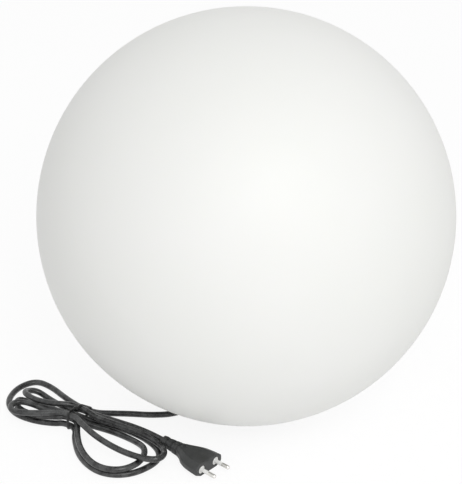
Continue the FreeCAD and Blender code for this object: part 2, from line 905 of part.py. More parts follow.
def hank_plan():
    """Corners of the hank's course on the ground, and which of them are in the waist."""
    plan = [hank_start, across_tie(half_waist, loops[0][5] * slot)]
    waist = [1]
    for one in loops:
        waist.append(len(plan))
        plan += loop_points(*one)
        waist.append(len(plan) - 1)
    waist.append(len(plan))
    last_slot = loops[-1][6] * slot
    plan.append(across_tie(half_waist, last_slot))
    plan.append(across_tie(half_waist + hank_leave, last_slot + hank_leave_out))
    return plan, waist


def smooth(corners, fine):
    """Samples of the smooth line that touches the middle of each leg between the corners."""
    samples = []
    for i in range(1, len(corners) - 1):
        before = [(a + b) / 2 for a, b in zip(corners[i - 1], corners[i])]
        after = [(a + b) / 2 for a, b in zip(corners[i], corners[i + 1])]
        for k in range(fine):
            t = k / fine
            weights = ((1 - t) ** 2, 2 * t * (1 - t), t * t)
            place = [sum(w * c for w, c in zip(weights, three))
                     for three in zip(before, corners[i], after)]
            samples.append((i, place))
    return samples


def pile_heights(plan, waist):
    """Height of each corner, so that every strand lies over the strands that were laid first."""
    samples = smooth(plan, fine)
    run = [0.0]
    for (i, a), (j, b) in zip(samples, samples[1:]):
        run.append(run[-1] + math.dist(a, b))
    floor = cord_r + ground_air
    rest = [floor] * len(plan)
    for i in waist:
        rest[i] = floor + tie_thick + tie_air
    corner_z = list(rest)
    sample_z = [floor] * len(samples)
    own_length = 3.2 * cord_d       # a strand doesn't climb over what it has just left
    for i in range(1, len(plan) - 1):
        for j in range(max(0, (i - 2) * fine), min(len(samples), (i + 1) * fine)):
            for k in range(j):
                if run[j] - run[k] < own_length or samples[k][0] > i - 2:
                    break
                apart = math.dist(samples[j][1], samples[k][1])
                if apart < strand_pitch:
                    over = sample_z[k] + math.sqrt(strand_pitch ** 2 - apart ** 2)
                    corner_z[i] = max(corner_z[i], over)
        if i > 1:
            three = [(z,) for z in corner_z[i - 2:i + 1]]
            for k, sample in enumerate(smooth(three, fine)):
                sample_z[(i - 2) * fine + k] = sample[1][0]
    corner_z[0] = corner_z[1]
    corner_z[-1] = corner_z[-2]
    return corner_z


def hank_corners():
    """Corners of the hank's course, and the numbers of those in the waist."""
    plan, waist = hank_plan()
    heights = pile_heights(plan, waist)
    return [V(x, y, z) for (x, y), z in zip(plan, heights)], waist


def hank_edges(corners):
    """Straight ends, and between the middles of the legs a pair of arcs round each corner."""
    middles = [(a + b) * 0.5 for a, b in zip(corners, corners[1:])]
    edges = [Part.makeLine(corners[0], middles[0])]
    radii = []
    for start, corner, end in zip(middles, corners[1:], middles[1:]):
        heading = (corner - start).normalize()
        leaving = (end - corner).normalize()
        chord = end - start
        both = chord.dot(heading + leaving)
        turn = 1 - heading.dot(leaving)
        reach = (math.sqrt(both ** 2 + 2 * turn * chord.dot(chord)) - both) / (2 * turn)
        first = start + heading * reach
        last = end - leaving * reach
        joint = (first + last) * 0.5
        for one in ((start, first, joint), (joint, last, end)):
            edge, radius = bend(*one)
            edges.append(edge)
            radii.append(radius)
    edges.append(Part.makeLine(middles[-1], corners[-1]))
    return edges, radii


def least_gap(edges):
    """Least room between two strands of the hank, measured on points of its centre line."""
    points = []
    run = []
    length = 0.0
    for edge in edges:
        count = max(2, int(5 * edge.Length / cord_d))
        for k in range(count):
            share = edge.FirstParameter + (edge.LastParameter - edge.FirstParameter) * k / count
            points.append(edge.valueAt(share))
            run.append(length + edge.Length * k / count)
        length += edge.Length
    gap = length
    for j, here in enumerate(points):
        for k in range(j):
            if run[j] - run[k] < 3 * cord_d:
                break
            gap = min(gap, here.distanceToPoint(points[k]))
    return gap - cord_d, length


def cord_hank():
    """The whole hank as one unbroken tube."""
    corners = hank_corners()[0]
    edges, radii = hank_edges(corners)
    solid = pipe(edges, cord_d)
    gap, length = least_gap(edges)
    expected = math.pi * cord_r ** 2 * length
    print("hank length", round(length, 1), "least radius", round(min(radii), 2),
          "least gap", round(gap, 2), "volume", round(solid.Volume / expected, 4),
          "top", round(solid.BoundBox.ZMax, 1))
    return solid


def waist_spots():
    """Where each strand goes through the tie: how far across the hank, and how high."""
    corners, waist = hank_corners()
    numbers = [loops[0][5]] + [one[6] for one in loops]
    return [(number * slot, (corners[a].z + corners[b].z) / 2)
            for number, a, b in zip(numbers, waist[::2], waist[1::2])]


def outermost(spots):
    """Those of the spots that a tight band would touch, in order round them."""
    hull = []
    for row in (sorted(spots), sorted(spots, reverse=True)):
        side = []
        for here in row:
            while len(side) > 1:
                (ax, ay), (bx, by) = side[-2:]
                if (bx - ax) * (here[1] - ay) - (by - ay) * (here[0] - ax) > 0:
                    break
                side.pop()
            side.append(here)
        hull += side[:-1]
    return hull


def cord_tie():
    """Wire tie drawn tight round the waist, its twisted ends laid over the far strands."""
    hull = outermost(waist_spots())
    spots = [V(-tie_width / 2, across, height) for across, height in hull]
    round_strands = Part.makePolygon(spots + spots[:1])
    inner = round_strands.makeOffset2D(cord_r + tie_air)
    outer = round_strands.makeOffset2D(cord_r + tie_air + tie_thick)
    band = Part.Face(outer).cut(Part.Face(inner)).extrude(V(tie_width, 0, 0))
    top = max(range(len(hull)), key=lambda n: hull[n][1])
    high, far = (V(0, *hull[n]) for n in (top, top - 1))
    along = (far - high).normalize()
    outwards_of_it = V(0, -along.z, along.y)
    if outwards_of_it.z < 0:
        outwards_of_it = -outwards_of_it
    lift = cord_r + tie_thick + tie_tail_d / 2
    tie = band.fuse(rod(tie_tail_d / 2, tie_tail, high + outwards_of_it * lift, along))
    tie.rotate(V(0, 0, 0), V(0, 0, 1), tie_turn)
    tie.translate(V(tie_at[0], tie_at[1], 0))
    return tie


# ---------------------------------------------------------------- free stretches of cord

def cord_run():
    """From the boot, out through the foot ring and under the globe, to the hank."""
    corners = hank_corners()[0]
    end = corners[0]
    heading = (corners[1] - corners[0]).normalize()
    spots = [outwards(chamber_r + boot_length + further, cord_exit_z - lower)
             for further, lower in run_down]
    spots += [V(x, y, cord_r + lift) for x, y, lift in run_spots]
    spots += [end - heading * run_last, end]
    return laid_tube("cord_run", spots)


def plug_place(x, y, z=0.0):
    """A spot given along and across the plug, from where the cord enters it."""
    angle = math.radians(plug_turn)
    return V(plug_at[0] + x * math.cos(angle) - y * math.sin(angle),
             plug_at[1] + x * math.sin(angle) + y * math.cos(angle), z)


def cord_tail():
    """From the hank's last strand to the plug."""
    corners = hank_corners()[0]
    start = corners[-1]
    heading = (corners[-1] - corners[-2]).normalize()
    along, across, lift = tail_spot
    spots = [
        start,
        start + heading * tail_first,
        V(*across_tie(along, across), plug_axis_z + lift),
        plug_place(-tail_first, 0, plug_axis_z),
        plug_place(0, 0, plug_axis_z),
    ]
    return laid_tube("cord_tail", spots)


# ---------------------------------------------------------------- plug

def eight_corners(station, width, thick, edge, flat_width):
    """Corners of a section square to the plug's axis, with bevels between top and sides."""
    half = ((width / 2, edge / 2), (flat_width / 2, thick / 2))
    right = [V(station, y, z) for y, z in half]
    left = [V(station, -y, z) for y, z in reversed(half)]
    below = [V(station, -spot.y, -spot.z) for spot in right + left]
    return right + left + below


def rounded_section(corners, radius):
    """Closed outline through the corners, each rounded to the radius."""
    arcs = []
    for n, corner in enumerate(corners):
        to_last = (corners[n - 1] - corner).normalize()
        to_next = (corners[(n + 1) % len(corners)] - corner).normalize()
        half_turn = (math.pi - to_last.getAngle(to_next)) / 2
        reach = radius * math.tan(half_turn)
        sunk = radius / math.cos(half_turn) - radius
        middle = corner + (to_last + to_next).normalize() * sunk
        arcs.append((corner + to_last * reach, middle, corner + to_next * reach))
    edges = []
    for n, (start, middle, end) in enumerate(arcs):
        edges.append(Part.Arc(start, middle, end).toShape())
        edges.append(Part.makeLine(end, arcs[(n + 1) % len(arcs)][0]))
    return Part.Wire(edges)


def plug_loft(start, end, start_round=plug_round, end_round=plug_round):
    """Length of the plug between two sections of it."""
    return Part.makeLoft([rounded_section(eight_corners(*start), start_round),
                          rounded_section(eight_corners(*end), end_round)], True, True)


def relief_section(at, inset=0.0):
    """Section of the strain relief, or of what is left of it that far under its surface."""
    share = at / relief_length
    width = relief_tail_d + (relief_end_width - relief_tail_d) * share
    thick = relief_tail_d + (relief_end_thick - relief_tail_d) * share
    side = relief_tail_side + (relief_end_side - relief_tail_side) * share
    side -= 2 * inset * math.tan(math.pi / 8)
    return at, width - 2 * inset, thick - 2 * inset, side, side + width - thick


def relief_ring(at):
    """What a groove round the strain relief takes away."""
    ends = (at - run_past, at + relief_groove_width + run_past)
    kept = plug_loft(*(relief_section(spot, relief_groove) for spot in ends),
                     relief_groove, relief_groove)
    band = Part.makeBox(relief_groove_width, plug_width, plug_width,
                        V(at, -plug_width / 2, -plug_width / 2))
    return band.cut(kept)


def plug_body():
    """Flat moulded plug: ringed strain relief, shoulders that widen, and a dish at each pin."""
    edge = plug_nose_edge
    sections = [relief_section(0), relief_section(relief_length)]
    sections += [(at, width, plug_thick, plug_edge_thick, flat_width)
                 for at, width, flat_width in plug_shoulders]
    sections.append((plug_length - edge, plug_width, plug_thick, plug_edge_thick, plug_flat_width))
    sections.append((plug_length, plug_width - 2 * edge, plug_thick - 2 * edge,
                     plug_edge_thick - edge, plug_flat_width - edge))
    rounds = [relief_round] * 2 + [plug_round] * (len(sections) - 2)
    lengths = [plug_loft(*both) for both in zip(sections, sections[1:], rounds, rounds[1:])]
    body = lengths[0].multiFuse(lengths[1:])
    for k in range(relief_ring_count):
        body = body.cut(relief_ring(relief_first + relief_pitch * k))
    floor = plug_length - pin_dish_deep
    for side in (-1, 1):
        y = side * pin_apart / 2
        dish = rod(pin_dish_d / 2, pin_dish_deep + run_past, V(floor, y, 0), V(1, 0, 0))
        socket = rod(pin_core_d / 2, pin_inset, V(floor - pin_inset, y, 0), V(1, 0, 0))
        body = body.cut(dish).cut(socket)
    return placed_on_plug(body)


def placed_on_plug(shape):
    shape.rotate(V(0, 0, 0), V(0, 0, 1), plug_turn)
    shape.translate(V(plug_at[0], plug_at[1], plug_axis_z))
    return shape


def plug_axis_turned(points, y):
    """A solid of revolution about a pin's axis from (distance along it, radius) points."""
    solid = lathe([(radius, x) for x, radius in points])
    solid.rotate(V(0, 0, 0), V(0, 1, 0), 90)
    solid.translate(V(0, y, 0))
    return placed_on_plug(solid)


def plug_pin(side):
    """Nickel-plated pin, full size at the end and reduced under its sleeve."""
    seat = plug_length - pin_dish_deep
    tip = seat + pin_length
    core_r = pin_core_d / 2 - shank_air
    return plug_axis_turned([
        (seat - pin_inset, 0),
        (seat - pin_inset, core_r),
        (seat + sleeve_length, core_r),
        (seat + sleeve_length, pin_d / 2),
        (tip - pin_tip, pin_d / 2),
        (tip - pin_tip / 3, pin_d / 2 - pin_tip / 2),
        (tip, pin_d / 2 - pin_tip),
        (tip, 0),
    ], side * pin_apart / 2)


def pin_sleeve(side):
    """Pale insulating sleeve round the inner half of the pin, with a disc that fills the dish."""
    seat = plug_length - pin_dish_deep
    core_r = pin_core_d / 2
    end = seat + sleeve_length - shank_air
    return plug_axis_turned([
        (seat, core_r),
        (seat, pin_dish_d / 2 - sink_air),
        (seat + sleeve_foot, pin_dish_d / 2 - sink_air),
        (seat + sleeve_foot, sleeve_d / 2),
        (end, sleeve_d / 2),
        (end, core_r),
    ], side * pin_apart / 2)


# ---------------------------------------------------------------- all pieces

pieces = {
    "globe_shell": globe_shell(),
    "neck_gasket": neck_gasket(),
    "base_cap": base_cap(),
    "terminal_cover": terminal_cover(),
    "cord_boot": cord_boot(),
    "cord_end": cord_end(),
    "cord_clamp": cord_clamp(),
    "clamp_seat": clamp_seat(),
    "terminal_block": terminal_block(),
    "lampholder_body": lampholder_body(),
    "lampholder_insert": lampholder_insert(),
    "lampholder_screw_shell": lampholder_screw_shell(),
    "lampholder_contact": lampholder_contact(),
    "bulb_cap": bulb_cap(),
    "bulb_insulator": bulb_insulator(),
    "bulb_contact": bulb_contact(),
    "bulb_housing": bulb_housing(),
    "bulb_board": bulb_board(),
    "bulb_dome": bulb_dome(),
    "cord_run": cord_run(),
    "cord_hank": cord_hank(),
    "cord_tail": cord_tail(),
    "cord_tie": cord_tie(),
    "plug_body": plug_body(),
}
for n in range(foot_count):
    pieces["rubber_foot_%d" % (n + 1)] = rubber_foot(n)
for n, turn in enumerate(cover_screw_turns()):
    pieces["cover_screw_%d" % (n + 1)] = cover_screw(turn)
for n, turn in enumerate(holder_screw_turns()):
    pieces["holder_screw_%d" % (n + 1)] = holder_screw(turn)
for name, side in (("left", -1), ("right", 1)):
    pieces["clamp_screw_" + name] = clamp_screw(side)
    pieces["terminal_screw_" + name] = terminal_screw(side)
    pieces["core_" + name] = core(side)
    pieces["lamp_lead_" + name] = lamp_lead(side)
    pieces["plug_pin_" + name] = plug_pin(side)
    pieces["pin_sleeve_" + name] = pin_sleeve(side)

os.makedirs("parts", exist_ok=True)
for name, shape in pieces.items():
    shape.exportStep("parts/%s.step" % name)
    box = shape.BoundBox
    print(name, len(shape.Solids), "solid", shape.isValid(), "volume", round(shape.Volume, 1),
          "z", round(box.ZMin, 2), round(box.ZMax, 2))
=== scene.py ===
import math

import bmesh
import bpy
from mathutils import Matrix, Vector


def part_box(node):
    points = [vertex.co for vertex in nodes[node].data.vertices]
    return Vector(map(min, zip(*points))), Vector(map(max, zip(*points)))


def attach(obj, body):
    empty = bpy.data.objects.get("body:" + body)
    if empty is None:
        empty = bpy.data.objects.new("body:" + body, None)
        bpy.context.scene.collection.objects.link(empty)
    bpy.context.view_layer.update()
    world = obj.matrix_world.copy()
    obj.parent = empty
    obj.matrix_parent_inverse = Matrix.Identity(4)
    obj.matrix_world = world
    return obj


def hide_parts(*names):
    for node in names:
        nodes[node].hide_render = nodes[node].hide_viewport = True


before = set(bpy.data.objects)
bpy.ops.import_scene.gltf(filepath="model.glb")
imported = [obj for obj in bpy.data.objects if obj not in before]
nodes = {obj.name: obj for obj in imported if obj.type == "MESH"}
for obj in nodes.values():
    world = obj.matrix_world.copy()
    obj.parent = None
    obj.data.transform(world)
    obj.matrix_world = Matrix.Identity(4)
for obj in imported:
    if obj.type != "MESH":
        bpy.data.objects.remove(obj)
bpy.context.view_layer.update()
mm = 0.001


# ---------------------------------------------------------------- studio
# A white table and a white room, one large soft lamp above the camera and to its right, and the
# camera itself. The room is plain white where it is seen or mirrored, and dimmer as a lamp.

def colour(code):
    """Linear colour of an sRGB hex value."""
    shares = [int(code[i:i + 2], 16) / 255 for i in (1, 3, 5)]
    linear = [s / 12.92 if s <= 0.04045 else ((s + 0.055) / 1.055) ** 2.4 for s in shares]
    return (*linear, 1.0)


def add(tree, kind, inputs=(), **settings):
    """Adds a shader node with its settings, and sets or links its inputs."""
    node = tree.nodes.new("ShaderNode" + kind)
    for name, value in settings.items():
        setattr(node, name, value)
    for key, value in dict(inputs).items():
        if isinstance(value, bpy.types.NodeSocket):
            tree.links.new(value, node.inputs[key])
        else:
            node.inputs[key].default_value = value
    return node


def looked_at(tree):
    """Whether a ray comes from the camera, or from a mirror or glass that shows what it meets."""
    ray = add(tree, "LightPath").outputs
    seen = add(tree, "Math", {0: ray["Is Camera Ray"], 1: ray["Is Glossy Ray"]},
               operation="MAXIMUM")
    seen = add(tree, "Math", {0: seen.outputs[0], 1: ray["Is Transmission Ray"]},
               operation="MAXIMUM")
    return seen.outputs[0]


scene = bpy.context.scene
scene.view_settings.view_transform = "Standard"

camera_data = bpy.data.cameras.new("camera")
camera_data.lens = 116.10
camera_data.sensor_width = 36.0
camera_data.sensor_fit = "AUTO"
camera = bpy.data.objects.new("camera", camera_data)
camera.location = (0.0, -1.33651, 0.88099)
camera_tilt, camera_pan = math.radians(62.07), math.radians(0.618)
camera.rotation_euler = (camera_tilt, 0.0, camera_pan)
scene.collection.objects.link(camera)
scene.camera = camera

room_as_lamp = 0.62
room = bpy.data.worlds.new("white_room")
room.use_nodes = True
tree = room.node_tree
tree.nodes.clear()
seen = looked_at(tree)
lamp = add(tree, "Background", {"Color": colour("#ffffff"), "Strength": room_as_lamp})
wall = add(tree, "Background", {"Color": colour("#ffffff"), "Strength": 1.0})
mix = add(tree, "MixShader", {0: seen, 1: lamp.outputs[0], 2: wall.outputs[0]})
add(tree, "OutputWorld", {0: mix.outputs[0]})
scene.world = room

table_half = 6.0
table_mesh = bpy.data.meshes.new("table_top")
corners = [(-table_half, -table_half, 0), (table_half, -table_half, 0),
           (table_half, table_half, 0), (-table_half, table_half, 0)]
table_mesh.from_pydata(corners, [], [(0, 1, 2, 3)])
table_top = bpy.data.objects.new("table_top", table_mesh)
scene.collection.objects.link(table_top)

# White laminate. Seen, it is mostly plain white with the object's soft shadow; as a surface that
# throws light back it is an ordinary matt white, and from below it doesn't hide the object.
shown_share, shown_strength = 0.86, 1.03
laminate = bpy.data.materials.new("matt_white_laminate")
laminate.use_nodes = True
tree = laminate.node_tree
tree.nodes.clear()
share = add(tree, "Math", {0: looked_at(tree), 1: shown_share}, operation="MULTIPLY")
matt = add(tree, "BsdfDiffuse", {"Color": colour("#f7f7f7")})
plain = add(tree, "Emission", {"Color": colour("#ffffff"), "Strength": shown_strength})
mix = add(tree, "MixShader", {0: share.outputs[0], 1: matt.outputs[0], 2: plain.outputs[0]})
clear = add(tree, "BsdfTransparent")
below = add(tree, "NewGeometry").outputs["Backfacing"]
mix = add(tree, "MixShader", {0: below, 1: mix.outputs[0], 2: clear.outputs[0]})
add(tree, "OutputMaterial", {0: mix.outputs[0]})
table_mesh.materials.append(laminate)

lamp_data = bpy.data.lights.new("soft_box", "AREA")
lamp_data.shape = "DISK"
lamp_data.size = 1.3
lamp_data.energy = 22.0
lamp_azimuth, lamp_elevation, lamp_distance = math.radians(17), math.radians(42), 2.5
soft_box = bpy.data.objects.new("soft_box", lamp_data)
towards = Vector((math.sin(lamp_azimuth) * math.cos(lamp_elevation),
                  -math.cos(lamp_azimuth) * math.cos(lamp_elevation),
                  math.sin(lamp_elevation)))
globe_middle = Vector((0, 0, 0.2))
soft_box.location = globe_middle + towards * lamp_distance
soft_box.rotation_mode = "QUATERNION"
soft_box.rotation_quaternion = towards.to_track_quat("Z", "Y")
scene.collection.objects.link(soft_box)


# ---------------------------------------------------------------- globe
# Rotation-moulded polyethylene ball, 400 mm across with a 3 mm wall. It is cut off underneath at
# a flat land, and a neck turned up inside it drops over the base.

def piece_of(name, points, faces, material, body, slot, *stood_for, sharp=35.0):
    """A mesh piece from points in millimetres, riding on its body in place of its CAD nodes."""
    mesh = bpy.data.meshes.new(name)
    mesh.from_pydata([Vector(p) * mm for p in points], [], faces)
    mesh.update()
    mesh.materials.append(material)
    mesh.shade_smooth()
    mesh.set_sharp_from_angle(angle=math.radians(sharp))
    piece = bpy.data.objects.new(name, mesh)
    scene.collection.objects.link(piece)
    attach(piece, body)
    if stood_for:
        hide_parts(*stood_for)
    return piece


def turned(outline_at, steps):
    """Points and faces of a closed outline of (radius, height) carried round Z."""
    points, faces = [], []
    for k in range(steps):
        turn = 2 * math.pi * k / steps
        outline = outline_at(turn)
        points += [(r * math.cos(turn), r * math.sin(turn), z) for r, z in outline]
    count = len(outline)
    for k in range(steps):
        here, there = k * count, (k + 1) % steps * count
        for n in range(count):
            m = (n + 1) % count
            faces.append((here + n, there + n, there + m, here + m))
    return points, faces


def turned_on_axis(outline, steps):
    """The same for an outline whose two ends lie on the axis."""
    inner = outline[1:-1]
    count = len(inner)
    points, faces = [], []
    for k in range(steps):
        turn = 2 * math.pi * k / steps
        points += [(r * math.cos(turn), r * math.sin(turn), z) for r, z in inner]
    first, last = len(points), len(points) + 1
    points += [(0, 0, outline[0][1]), (0, 0, outline[-1][1])]
    for k in range(steps):
        here, there = k * count, (k + 1) % steps * count
        faces.append((first, there, here))
        faces.append((last, here + count - 1, there + count - 1))
        for n in range(count - 1):
            faces.append((here + n, there + n, there + n + 1, here + n + 1))
    return points, faces


def eased(outline, radius, steps=4, closed=True):
    """Rounds the corners of an outline to a radius, or to a radius for each corner."""
    radii = radius if hasattr(radius, "__len__") else [radius] * len(outline)
    made = []
    count = len(outline)
    for n, here in enumerate(outline):
        if not closed and n in (0, count - 1):
            made.append(here)
            continue
        here = Vector(here)
        before, after = Vector(outline[n - 1]) - here, Vector(outline[(n + 1) % count]) - here
        turn = math.pi - before.angle(after)
        reach = min(radii[n] * math.tan(turn / 2), 0.45 * before.length, 0.45 * after.length)
        if turn < 0.05 or reach <= 0:
            made.append(tuple(here))
            continue
        start, end = here + before.normalized() * reach, here + after.normalized() * reach
        for k in range(steps + 1):
            t = k / steps
            made.append(tuple(start * (1 - t) ** 2 + here * 2 * t * (1 - t) + end * t * t))
    return made


globe_r, globe_wall, mouth_r = 200.0, 3.0, 72.0
neck_in_r, neck_out_r, neck_height = 54.0, 57.0, 19.0
land_air = 0.05             # over the gasket
globe_steps, outer_steps, inner_steps = 256, 120, 90
mouth_z = globe_r - math.sqrt(globe_r ** 2 - mouth_r ** 2) + land_air
land_top = mouth_z + globe_wall
neck_top = land_top + neck_height


def ball_arc(radius, low, steps):
    """Points up the side of a ball about the globe's middle, from a height to its crown."""
    start = math.acos((globe_r - low) / radius)
    turns = [start + (math.pi - start) * k / steps for k in range(steps + 1)]
    return [(radius * math.sin(t), globe_r - radius * math.cos(t)) for t in turns]


land_in = math.sqrt((globe_r - globe_wall) ** 2 - (globe_r - land_top) ** 2)
neck_outline = eased([
    (land_in, land_top), (neck_out_r, land_top), (neck_out_r, neck_top),
    (neck_in_r, neck_top), (neck_in_r, mouth_z), (mouth_r, mouth_z),
], [2.0, 2.0, 0.8, 0.8, 1.2, 0.0], closed=False)
inner_skin = ball_arc(globe_r - globe_wall, land_top, inner_steps)
outer_skin = ball_arc(globe_r, mouth_z, outer_steps)
# The edge of the land, slightly rounded.
mouth_edge = [(mouth_r - 1.1, mouth_z + 0.03), (mouth_r - 0.4, mouth_z + 0.22)]
outline = inner_skin[::-1] + neck_outline[1:-1] + mouth_edge + outer_skin[1:]
points, faces = turned_on_axis(outline, globe_steps)

# Polyethylene from a rotating mould: white right through, satin, with a faint orange peel and
# a soft glow under the skin. The peel is about 5 mm wide and a few hundredths deep.
cloud_wide, peel_wide, grain_wide, peel_deep, grain_share = 140, 5.5, 0.7, 0.05, 0.12
polyethylene = bpy.data.materials.new("rotation_moulded_white_polyethylene")
polyethylene.use_nodes = True
tree = polyethylene.node_tree
shader = tree.nodes["Principled BSDF"]
shader.inputs["IOR"].default_value = 1.5
shader.inputs["Subsurface Weight"].default_value = 0.12
shader.inputs["Subsurface Radius"].default_value = (1.0, 1.0, 0.9)
shader.inputs["Subsurface Scale"].default_value = 3 * mm
spot = add(tree, "TexCoord").outputs["Object"]
cloud = add(tree, "TexNoise", {"Vector": spot, "Scale": 1000 / cloud_wide, "Detail": 2.0})
tone = add(tree, "Mix", {0: cloud.outputs[0], 6: colour("#f2f3ef"), 7: colour("#f7f7f5")},
           data_type="RGBA")
peel = add(tree, "TexNoise", {"Vector": spot, "Scale": 1000 / peel_wide, "Detail": 1.0})
grain = add(tree, "TexNoise", {"Vector": spot, "Scale": 1000 / grain_wide, "Detail": 2.0})
both = add(tree, "Math", {0: grain.outputs[0], 1: grain_share, 2: peel.outputs[0]},
           operation="MULTIPLY_ADD")
dent = add(tree, "Bump", {"Height": both.outputs[0], "Strength": 1.0,
                          "Distance": peel_deep * mm})
sheen = add(tree, "MapRange", {0: cloud.outputs[0], 3: 0.50, 4: 0.58})
tree.links.new(tone.outputs[2], shader.inputs["Base Color"])
tree.links.new(sheen.outputs[0], shader.inputs["Roughness"])
tree.links.new(dent.outputs[0], shader.inputs["Normal"])

piece_of("globe", points, faces, polyethylene, "globe", "globe_pe", "globe_shell")


# ---------------------------------------------------------------- gasket and base
# The base is one moulding of black polypropylene, stood on four rubber pads let into its foot
# ring. A screwed lid closes its terminal chamber, and a flat rubber ring seals the globe's land.

def surface(name, tones, rough, grain, deep, patch, swell=(1, 0), **constants):
    """A moulded, cast or plated finish: two tones in patches, and a grain that also dulls it.
    Sizes are in millimetres: how wide the patches and the grain are, how deep the grain is, and
    how wide and deep the surface swells under it."""
    material = bpy.data.materials.new(name)
    material.use_nodes = True
    tree = material.node_tree
    shader = tree.nodes["Principled BSDF"]
    for key, value in constants.items():
        shader.inputs[key.replace("_", " ")].default_value = value
    spot = add(tree, "TexCoord").outputs["Object"]
    cloud = add(tree, "TexNoise", {"Vector": spot, "Scale": 1000 / patch, "Detail": 3.0})
    wide = add(tree, "MapRange", {0: cloud.outputs[0], 1: 0.35, 2: 0.65})
    tone = add(tree, "Mix", {0: wide.outputs[0], 6: colour(tones[0]), 7: colour(tones[1])},
               data_type="RGBA")
    fine = add(tree, "TexNoise", {"Vector": spot, "Scale": 1000 / grain, "Detail": 2.0})
    dull = add(tree, "MapRange", {0: fine.outputs[0], 1: 0.3, 2: 0.7, 3: rough[0], 4: rough[1]})
    dent = add(tree, "Bump", {"Height": fine.outputs[0], "Strength": 1.0, "Distance": deep * mm})
    if swell[1]:
        wave = add(tree, "TexNoise", {"Vector": spot, "Scale": 1000 / swell[0], "Detail": 1.0})
        under = add(tree, "Bump", {"Height": wave.outputs[0], "Strength": 1.0,
                                   "Distance": swell[1] * mm})
        tree.links.new(under.outputs[0], dent.inputs["Normal"])
    tree.links.new(tone.outputs[2], shader.inputs["Base Color"])
    tree.links.new(dull.outputs[0], shader.inputs["Roughness"])
    tree.links.new(dent.outputs[0], shader.inputs["Normal"])
    return material


def finish_node(name, material, sharp=25.0):
    """Gives a CAD piece that stays as it is its real finish."""
    mesh = nodes[name].data
    mesh.materials.clear()
    mesh.materials.append(material)
    mesh.shade_smooth()
    mesh.set_sharp_from_angle(angle=math.radians(sharp))


# Black polypropylene off a spark-eroded mould: a fine matt grain, real 0.3 mm, drawn at 0.6.
polypropylene = surface("spark_eroded_black_polypropylene", ("#222323", "#2b2c2c"),
                        (0.42, 0.62), 0.6, 0.02, 40, IOR=1.49)
# Compression-moulded rubber: dead matt, a little grey from talc.
rubber = surface("moulded_black_rubber", ("#1f1f1f", "#2c2c2b"), (0.70, 0.90), 0.8, 0.02, 9,
                 IOR=1.52)
for name in ("base_cap", "terminal_cover"):
    finish_node(name, polypropylene)
for name in ("neck_gasket", "rubber_foot_1", "rubber_foot_2", "rubber_foot_3", "rubber_foot_4"):
    finish_node(name, rubber)

# Zinc-plated steel: bright, faintly blue-grey, tumbled so that its gloss is uneven.
zinc = surface("zinc_plated_steel", ("#b9bcc0", "#d0d2d4"), (0.25, 0.40), 0.5, 0.01, 3,
               Metallic=1.0)
for name in ("cover_screw_1", "cover_screw_2", "cover_screw_3", "holder_screw_1",
             "holder_screw_2", "clamp_screw_left", "clamp_screw_right"):
    finish_node(name, zinc)


# ---------------------------------------------------------------- cord entry and terminals
# A grooved rubber boot grips the chamber wall and the cord. Inside, a saddle clamps the sheath,
# and the two cores run to a screw terminal block, from which two leads rise to the lampholder.

finish_node("cord_boot", rubber)
# Natural polyamide: milky and slightly yellow, with a soft gloss.
polyamide = surface("natural_polyamide", ("#d9d5c8", "#e6e2d6"), (0.35, 0.50), 0.9, 0.01, 6,
                    IOR=1.53, Subsurface_Weight=0.1, Subsurface_Scale=0.002)
for name in ("cord_clamp", "clamp_seat", "terminal_block"):
    finish_node(name, polyamide)
# Nickelled brass screws, a warm pale yellow.
brass = surface("nickelled_brass", ("#c2b280", "#d3c69a"), (0.22, 0.36), 0.4, 0.01, 3,
                Metallic=1.0)
for name in ("terminal_screw_left", "terminal_screw_right"):
    finish_node(name, brass)
# Extruded PVC insulation, smooth and semi-gloss.
brown = surface("brown_pvc_insulation", ("#5a3a22", "#684428"), (0.30, 0.42), 0.8, 0.01, 5,
                IOR=1.53)
blue = surface("blue_pvc_insulation", ("#2a5a9a", "#336aac"), (0.30, 0.42), 0.8, 0.01, 5,
               IOR=1.53)
for name, material in (("core_left", blue), ("lamp_lead_left", blue),
                       ("core_right", brown), ("lamp_lead_right", brown)):
    finish_node(name, material)


# ---------------------------------------------------------------- lampholder
# Fluted holder of black thermoset screwed to the base, a ceramic floor, a pressed metal shell
# with the thread for a 27 mm cap, and a sprung contact in the middle.

# Thermoset pressed in a polished mould: hard gloss with faint flow marks.
thermoset = surface("pressed_black_thermoset", ("#161616", "#202020"), (0.22, 0.34), 2.0, 0.01,
                    12, IOR=1.6)
finish_node("lampholder_body", thermoset)
# Unglazed steatite: chalky white with a fine tooth.
steatite = surface("steatite_ceramic", ("#e6e2d8", "#f0ede6"), (0.60, 0.80), 0.7, 0.02, 8,
                   IOR=1.6)
finish_node("lampholder_insert", steatite)
# Pressed brass strip, nickelled: bright, with a slight drawing haze.
nickel = surface("nickelled_pressing", ("#d9d8d4", "#eceae6"), (0.20, 0.34), 0.7, 0.002, 6,
                 Metallic=1.0)
finish_node("lampholder_contact", nickel)

thread_pitch = 3.62
shell_low, shell_top = (corner.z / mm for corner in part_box("lampholder_screw_shell"))
shell_r, shell_wall, thread_deep, shell_lip = 14.6, 0.6, 0.55, 1.6
shell_straight = shell_top - shell_lip
thread_fade = 2.0           # height over which the thread runs out
wall_steps, thread_steps = 56, 120


